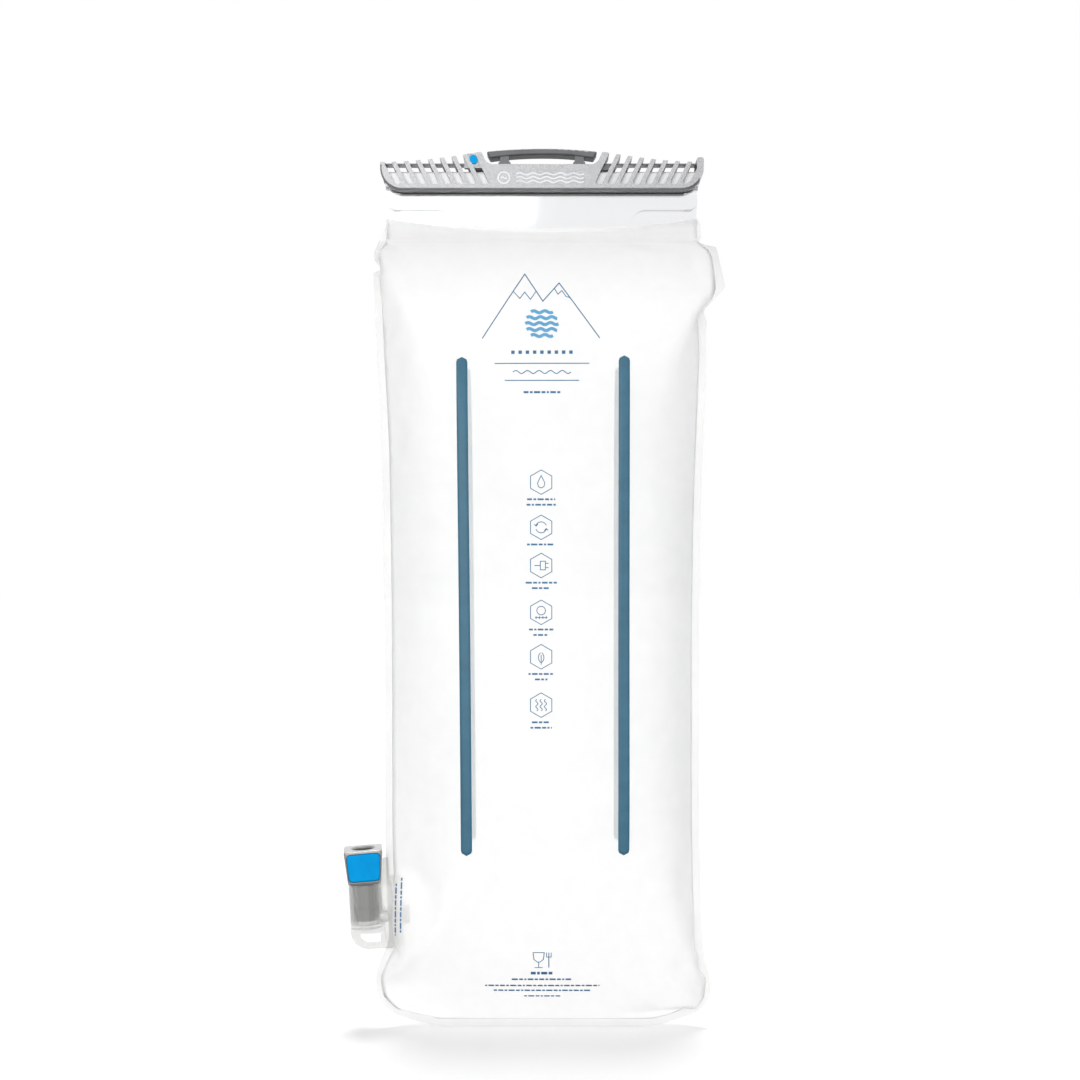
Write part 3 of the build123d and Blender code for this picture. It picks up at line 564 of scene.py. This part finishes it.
def weld_edge(line):
    """Outer edge of the flat weld along a seam that runs down the left, along the bottom and up the right."""
    along = np.gradient(softened(line, 8), axis=0)
    away = unit(np.stack([along[:, 2], 0 * along[:, 0], -along[:, 0]], 1))
    edge = softened(line + away * FLANGE, 10)
    for table, side in ((LEFT_EDGE, line[:, 0] < 0), (RIGHT_EDGE, line[:, 0] > 0)):
        z = line[:, 2]
        share = np.clip((z + 0.096) / 0.008, 0, 1) * side
        for axis in (0, 2):
            wanted = np.interp(z, table[:, 0], table[:, 1 + axis // 2])
            edge[:, axis] += (wanted - edge[:, axis]) * share
    return edge


def build_film(bag, layer, name, node):
    """One film layer: the neck, the inflated sheet and the flat weld flange outside the seam."""
    sign = -1 if layer == 0 else 1
    sheet = bag[layer]
    neck = []
    for f in np.linspace(1, 0, NECK_ROWS + 1)[:-1]:
        line = sheet[0].copy()
        line[:, 2] = NECK_Z + (frosted_edge(line[:, 0]) - NECK_Z) * f
        neck.append(line)
    grid = np.concatenate([np.stack(neck), sheet], 0)
    rows, columns = grid.shape[:2]
    points = grid.reshape(-1, 3)
    faces = [grid_faces(rows, columns, layer == 1)]
    down = np.arange(rows) * columns
    seam = np.concatenate([down, down[-1] + np.arange(1, columns - 1), down[::-1] + columns - 1])
    line = points[seam]
    edge = weld_edge(line)
    rings = []
    for f in (0.1, 0.4, 0.7, 1.0):
        ring = line + (edge - line) * f
        ring[:, 1] = line[:, 1] * (1 - 0.6 * f) + sign * 0.0003 * f
        rings.append(ring)
    n = len(seam)
    first = len(points)
    points = np.concatenate([points, *rings])
    chain = [seam] + [np.arange(first + k * n, first + (k + 1) * n) for k in range(len(rings))]
    for inner, outer in zip(chain[:-1], chain[1:]):
        quads = np.stack([inner[:-1], inner[1:], outer[1:], outer[:-1]], 1)
        faces.append(quads if layer == 1 else quads[:, ::-1])
    count = len(faces[0])
    faces = np.concatenate(faces)
    indices = np.zeros(len(faces), int)
    indices[count:] = 1
    made = new_mesh(name, points, faces, "bag", [FILM, WELD], indices)
    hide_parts(node)
    return made, rings[-1]


def build_edge(front_ring, back_ring):
    """The cut edge that joins both layers' flanges, left open where the port stands between them."""
    n = len(front_ring)
    points = np.concatenate([front_ring, (front_ring + back_ring) / 2, back_ring])
    welded = back_ring[:, 1] - front_ring[:, 1] < 0.0012
    faces = []
    for k in range(n - 1):
        if welded[k] and welded[k + 1]:
            faces.append((k, k + 1, n + k + 1, n + k))
            faces.append((n + k, n + k + 1, 2 * n + k + 1, 2 * n + k))
    return new_mesh("seam_edge", points, faces, "bag", [WELD])


bag, left, right, web_rows = inflate(85, 33, None, 260, 6, BAG_VOLUME)
bag, left, right, web_rows = inflate(169, 65, bag, 100, 8, BAG_VOLUME)

film_front, ring_front = build_film(bag, 0, "film_front", "front_panel")
film_back, ring_back = build_film(bag, 1, "film_back", "back_panel")
build_edge(ring_front, ring_back)


def surface_probe(mesh_object):
    """A function that gives the point and outward normal of a film layer in front of (x, z)."""
    mesh = mesh_object.data
    tree = BVHTree.FromPolygons([v.co for v in mesh.vertices], [p.vertices for p in mesh.polygons])
    side = -1 if mesh_object is film_front else 1

    def probe(x, z):
        hit, normal, _, _ = tree.ray_cast(Vector((x, side * 0.2, z)), Vector((0, -side, 0)))
        if normal.y * side < 0:
            normal = -normal
        return hit, normal

    return probe


on_front = surface_probe(film_front)
on_back = surface_probe(film_back)


def weld_strip(name, column, layer):
    """The raised blue weld along a baffle's edge, with round ends, on one film layer."""
    line = bag[layer, web_rows, column]
    high, low = line[0, 2] + 0.0012, line[-1, 2] - 0.0012
    heights = np.linspace(high, low, 190)
    xs = np.interp(-heights, -line[:, 2], line[:, 0])
    probe = on_front if layer == 0 else on_back
    half = 0.0029
    points = []
    columns = 9
    for x, z in zip(xs, heights):
        end = min(high - z, z - low)
        width = half * math.sqrt(max(1 - max(1 - end / half, 0) ** 2, 0.0))
        edge = min(1, end / 0.0012)
        for s in np.linspace(-1, 1, columns):
            hit, normal = probe(x + s * width, z)
            lift = 0.00055 * (1 - abs(s) ** 5) * min(1, edge) + 0.00006
            points.append(Vector(hit) + Vector(normal) * lift)
    faces = grid_faces(len(heights), columns, layer == 1)
    return new_mesh(name, points, faces, "bag", [STRIP])


def baffle_web(name, column):
    """The web between both layers."""
    near = bag[0, web_rows, column]
    far = bag[1, web_rows, column]
    f = np.linspace(0.01, 0.99, 7)[None, :, None]
    grid = near[:, None] * (1 - f) + far[:, None] * f
    sag = np.sin(math.pi * f[..., 0]) * 0.0006 * np.sin(np.linspace(0, 40, len(near)))[:, None]
    grid[..., 0] += sag
    return new_mesh(name, grid.reshape(-1, 3), grid_faces(len(near), 7), "bag", [WEB])


for name, column, node in (("left", left, "baffle_left"), ("right", right, "baffle_right")):
    web = baffle_web(f"baffle_web_{name}", column)
    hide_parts(node)
    weld_strip(f"baffle_weld_{name}_front", column, 0)
    weld_strip(f"baffle_weld_{name}_back", column, 1)

# ---------------------------------------------------------------- prints, generic line art without lettering


THIN_LINE = 0.42
FILM_PROUD = 0.00018
CLOSURE_PROUD = 0.00006


class Print:
    """Thin printed shapes on a surface, drawn in millimetres of x and z and gathered into one mesh."""

    def __init__(self, place):
        self.place = place
        self.points = []
        self.faces = []
        self.inks = []

    def quad_strip(self, left, right, ink):
        """Faces between two lines of points."""
        first = len(self.points)
        for a, b in zip(left, right):
            self.points += [self.place(*a), self.place(*b)]
        for k in range(len(left) - 1):
            i = first + 2 * k
            self.faces.append((i, i + 1, i + 3, i + 2))
            self.inks.append(ink)

    def line(self, corners, width=THIN_LINE, ink=0, closed=False, step=1.2):
        """A line through corners, drawn at an even width."""
        corners = [np.array(c, float) for c in corners]
        if closed:
            corners.append(corners[0])
        path = [corners[0]]
        for a, b in zip(corners[:-1], corners[1:]):
            parts = max(1, int(np.linalg.norm(b - a) / step))
            path += [a + (b - a) * k / parts for k in range(1, parts + 1)]
        path = np.array(path)
        along = unit(np.diff(path, axis=0))
        before = np.vstack([along[-1:] if closed else along[:1], along])
        after = np.vstack([along, along[:1] if closed else along[-1:]])
        middle = unit(before + after)
        side = np.stack([-middle[:, 1], middle[:, 0]], 1)
        reach = width / 2 / np.maximum(0.4, (middle * after).sum(1))[:, None]
        self.quad_strip(path + side * reach, path - side * reach, ink)

    def wave(self, x0, x1, z, height, length, width, ink=0):
        """A wavy line."""
        xs = np.linspace(x0, x1, max(6, int((x1 - x0) / length * 12)))
        turns = (xs - x0) / length * 2 * math.pi
        self.line(np.stack([xs, z + height * np.sin(turns)], 1), width, ink)

    def circle(self, x, z, radius, width, ink=0, start=0, turn=360):
        """A circle or an arc of one."""
        angles = np.radians(np.linspace(start, start + turn, 25))
        self.line([(x + radius * math.cos(a), z + radius * math.sin(a)) for a in angles], width, ink)

    def words(self, x, z, width, height, seed=0, upright=True):
        """Short dashes that stand where small print would be."""
        lengths = (2.6, 1.4, 3.2, 2.0, 1.1, 2.9, 1.7)
        at = -width / 2
        k = seed
        while at < width / 2 - 0.4:
            end = min(at + lengths[k % 7], width / 2)
            if upright:
                self.line([(x + at, z), (x + end, z)], height, step=0.8)
            else:
                self.line([(x, z - at), (x, z - end)], height, step=0.8)
            at = end + 0.7
            k += 1

    def mesh(self, name, body, materials, slot):
        """The finished print."""
        return new_mesh(name, self.points, self.faces, body, materials, self.inks, False)


def on_film(x, z):
    """A point just proud of the front film."""
    hit, normal = on_front(x / 1000, z / 1000)
    return Vector(hit) + Vector(normal) * FILM_PROUD


def on_closure(x, z):
    """A point just proud of the closure's front wall."""
    return Vector((x / 1000, CLOSURE_LOW.y - CLOSURE_PROUD, z / 1000))


def draw_emblem(art):
    """Two peaks over a round of waves, between rules."""
    art.line([(-31, -99), (-9, -64), (0.5, -79), (9, -69), (30, -99)], 0.55)
    art.line([(-15, -73.5), (-11.5, -77.5), (-9, -74), (-6, -78), (-3, -73.5)], 0.45)
    art.line([(6.4, -71.8), (8.4, -75.2), (10.4, -73.2), (12.6, -76.5), (14.4, -77)], 0.45)
    for k in range(5):
        z = -84.8 - 3.2 * k
        half = math.sqrt(max(8.6**2 - (z + 91.2) ** 2, 9))
        art.wave(-half, half, z, 0.55, 5.8, 1.75, 1)
    for x in np.linspace(-15, 15, 9):
        art.line([(x - 0.9, -106.5), (x + 0.9, -106.5)], 1.8, 0)
    art.line([(-24.5, -112.4), (24.5, -112.4)], 0.5)
    art.wave(-15, 15, -117.0, 0.8, 6.0, 0.5)
    art.line([(-19.2, -121.4), (19.2, -121.4)], 0.5)
    art.words(0, -127.6, 19, 1.1)


def draw_drop(art, x, z):
    """A drop."""
    side = [(1.9, -0.4), (1.4, -2.3)]
    corners = [(0, 3.4), *side, (0, -3.0), *[(-a, b) for a, b in side[::-1]]]
    art.line([(x + a, z + b) for a, b in corners], closed=True)


def draw_turn(art, x, z):
    """Two arrows that go round."""
    for sign in (1, -1):
        art.circle(x, z, 2.8, THIN_LINE, start=110 - 90 * sign, turn=140)
        head = [(-3.6, 1.6), (-2.6, 0.6), (-1.6, 1.7)]
        art.line([(x + a * sign, z + b * sign) for a, b in head])


def draw_plug(art, x, z):
    """A plug with two pins."""
    art.line([(x - 3.4, z), (x - 0.4, z)])
    body = [(x - 0.4, z + 2.2), (x + 2.2, z + 2.2), (x + 2.2, z - 2.2), (x - 0.4, z - 2.2)]
    art.line(body, closed=True)
    for up in (1.1, -1.1):
        art.line([(x + 2.2, z + up), (x + 3.8, z + up)])


def draw_rack(art, x, z):
    """A ball on a rack."""
    art.circle(x, z + 0.9, 2.2, THIN_LINE)
    for a in (-2.6, -0.9, 0.9, 2.6):
        art.line([(x + a, z - 3.4), (x + a, z - 1.9)])
    art.line([(x - 3.2, z - 2.7), (x + 3.2, z - 2.7)])


def draw_leaf(art, x, z):
    """A leaf on its stalk."""
    art.circle(x - 2.0, z - 0.4, 3.4, THIN_LINE, start=-48, turn=96)
    art.circle(x + 2.0, z - 0.4, 3.4, THIN_LINE, start=132, turn=96)
    art.line([(x, z - 4.0), (x, z + 1.0)])


def draw_steam(art, x, z):
    """Three rising wavy lines."""
    for a in (-2.2, 0.0, 2.2):
        art.line([(x + a + 0.6 * math.sin(t * 2.1), z - 3 + t) for t in np.linspace(0, 6, 13)])


# Each icon's height and picture, and the widths of its two rows of dashes.
ICONS = (
    (-174.2, draw_drop, 14.5, 15.0),
    (-197.4, draw_turn, 14.5, 0),
    (-217.0, draw_plug, 16.0, 9.5),
    (-241.0, draw_rack, 12.5, 8.0),
    (-263.8, draw_leaf, 13.0, 6.5),
    (-288.6, draw_steam, 9.5, 11.0),
)
ICON_X = -0.4
ICON_RADIUS = 6.3


def draw_icons(art):
    """Six hexagons with plain pictures for care and use, each over a few dashes."""
    for k, (z, picture, first_row, second_row) in enumerate(ICONS):
        turns = [math.radians(a) for a in range(0, 360, 60)]
        hexagon = [(ICON_X + ICON_RADIUS * math.sin(a), z + ICON_RADIUS * math.cos(a)) for a in turns]
        art.line(hexagon, closed=True)
        art.words(ICON_X, z - 8.8, first_row, 0.95, k)
        if second_row:
            art.words(ICON_X, z - 11.6, second_row, 0.95, k + 3)
        picture(art, ICON_X, z)


# The small print's rows of dashes, as distance below the cup, width and height.
SMALL_PRINT = ((7.2, 12, 1.5), (10.7, 32, 0.95), (14.3, 60, 0.85), (17.1, 51, 0.85), (20.4, 19, 0.75))


def draw_foot(art):
    """A cup and fork, and dashes where the small print stands."""
    z = -422.6
    cup = [(-4.6, 4.4), (1.2, 4.4), (0.8, 0.6), (-1.0, -0.9), (-2.4, -0.9), (-4.2, 0.6)]
    art.line([(x, z + up) for x, up in cup], closed=True)
    art.line([(-1.7, z - 0.9), (-1.7, z - 3.9)])
    art.line([(-3.8, z - 4.0), (0.4, z - 4.0)])
    art.line([(3.6, z + 4.4), (3.6, z - 4.0)], 0.5)
    art.line([(2.4, z + 4.4), (2.4, z + 1.9), (4.8, z + 1.9), (4.8, z + 4.4)])
    for k, (down, width, height) in enumerate(SMALL_PRINT):
        art.words(0.2, z - down, width, height, 2 * k)
    art.words(-73.6, -394.5, 27, 0.8, 1, False)
    art.words(-76.4, -397.0, 26, 0.8, 4, False)


front_print = Print(on_film)
draw_emblem(front_print)
draw_icons(front_print)
draw_foot(front_print)
front_print.mesh("front_print", "bag", [INK, INK_LIGHT], "film")

panel_mark = Print(on_closure)
for z in (-11.2, -13.2, -15.2):
    panel_mark.wave(-13.5, 22.0, z, 0.5, 7.1, 0.75)
panel_mark.circle(-20.0, -13.2, 3.0, 0.8)
panel_mark.wave(-21.6, -18.4, -13.2, 0.45, 3.2, 0.7)
panel_mark.mesh("closure_mark", "closure", [WHITE_INK], "closure_shell")

# ---------------------------------------------------------------- stage, lights and camera

floor_mesh = bpy.data.meshes.new("floor")
floor_z = PANEL_LOW.z - 0.0004
floor_radius = 30
turns = np.linspace(0, 2 * math.pi, 65)[:-1]
ring = [(floor_radius * math.cos(a), floor_radius * math.sin(a), floor_z) for a in turns]
floor_mesh.from_pydata(ring, [], [tuple(range(len(ring)))])
floor = bpy.data.objects.new("floor", floor_mesh)
floor.visible_diffuse = False
floor.visible_glossy = False
bpy.context.scene.collection.objects.link(floor)
floor_paint, _, floor_shader = new_material("floor_paint", grey(0.8), 0.7)
floor_shader.inputs["Emission Color"].default_value = (1, 1, 1, 1)
floor_shader.inputs["Emission Strength"].default_value = 0.12
floor_shader.inputs["Specular IOR Level"].default_value = 0.1
floor_mesh.materials.append(floor_paint)

TENT_LIGHT = 1.45
world = bpy.data.worlds.new("studio")
world.use_nodes = True
sky = world.node_tree
direction = sky.nodes.new("ShaderNodeTexCoord")
axes = sky.nodes.new("ShaderNodeSeparateXYZ")
sky.links.new(direction.outputs["Generated"], axes.inputs["Vector"])
facing = add_node(sky, "ShaderNodeMath", operation="ABSOLUTE")
sky.links.new(axes.outputs["Y"], facing.inputs[0])
tent_stops = [(0.0, 0.17), (0.35, 0.33), (0.7, 0.74), (1.0, 1.0)]
tent = ramp(sky, facing, [(at, grey(v)) for at, v in tent_stops])
height = add_node(sky, "ShaderNodeMapRange", From_Min=-0.8, From_Max=0.1, To_Min=0.2, To_Max=1.0)
sky.links.new(axes.outputs["Z"], height.inputs["Value"])
lit = add_node(sky, "ShaderNodeMixRGB", blend_type="MULTIPLY", Fac=1.0)
sky.links.new(tent.outputs["Color"], lit.inputs["Color1"])
sky.links.new(height.outputs["Result"], lit.inputs["Color2"])
# What is seen through clear plastic is dimmer than the light itself, so that its edges show.
glass_stops = [(0.0, 0.12), (0.5, 0.28), (0.9, 0.54), (0.99, 0.67)]
through_glass = ramp(sky, facing, [(at, grey(v)) for at, v in glass_stops])
seen = sky.nodes.new("ShaderNodeLightPath")
glassy = add_node(sky, "ShaderNodeMath", operation="SUBTRACT", use_clamp=True)
sky.links.new(seen.outputs["Is Transmission Ray"], glassy.inputs[0])
sky.links.new(seen.outputs["Is Diffuse Ray"], glassy.inputs[1])
view = sky.nodes.new("ShaderNodeMixRGB")
sky.links.new(glassy.outputs["Value"], view.inputs["Fac"])
sky.links.new(lit.outputs["Color"], view.inputs["Color1"])
sky.links.new(through_glass.outputs["Color"], view.inputs["Color2"])
backdrop = add_node(sky, "ShaderNodeMixRGB", Color2=(*grey(1 / TENT_LIGHT), 1))
sky.links.new(seen.outputs["Is Camera Ray"], backdrop.inputs["Fac"])
sky.links.new(view.outputs["Color"], backdrop.inputs["Color1"])
sky.links.new(backdrop.outputs["Color"], sky.nodes["Background"].inputs["Color"])
sky.nodes["Background"].inputs["Strength"].default_value = TENT_LIGHT
bpy.context.scene.world = world


def area_light(name, at, toward, size, power):
    """A soft rectangular light."""
    data = bpy.data.lights.new(name, "AREA")
    data.shape = "RECTANGLE"
    data.size, data.size_y = size
    data.energy = power
    made = bpy.data.objects.new(name, data)
    made.location = at
    made.rotation_euler = (Vector(toward) - Vector(at)).to_track_quat("-Z", "Y").to_euler()
    bpy.context.scene.collection.objects.link(made)
    return made


area_light("front", (-0.5, -1.6, 0.0), (0, 0, -0.22), (1.0, 1.0), 9)
area_light("key", (-0.9, -1.1, 0.5), (0, 0, -0.2), (0.7, 0.7), 1.5)
top_data = bpy.data.lights.new("top", "SUN")
top_data.energy = 1.7
top_data.angle = math.radians(14)
top = bpy.data.objects.new("top", top_data)
top.rotation_euler = (math.radians(-8), 0, 0)
bpy.context.scene.collection.objects.link(top)

camera_data = bpy.data.cameras.new("camera")
camera_data.lens = 45
camera_data.sensor_width = 36
camera_data.shift_y = 0.0444
camera = bpy.data.objects.new("camera", camera_data)
camera.location = (-0.001, -0.7155, -0.2285)
camera.rotation_euler = (math.pi / 2, 0, 0)
bpy.context.scene.collection.objects.link(camera)
bpy.context.scene.camera = camera
bpy.context.scene.view_settings.view_transform = "Standard"
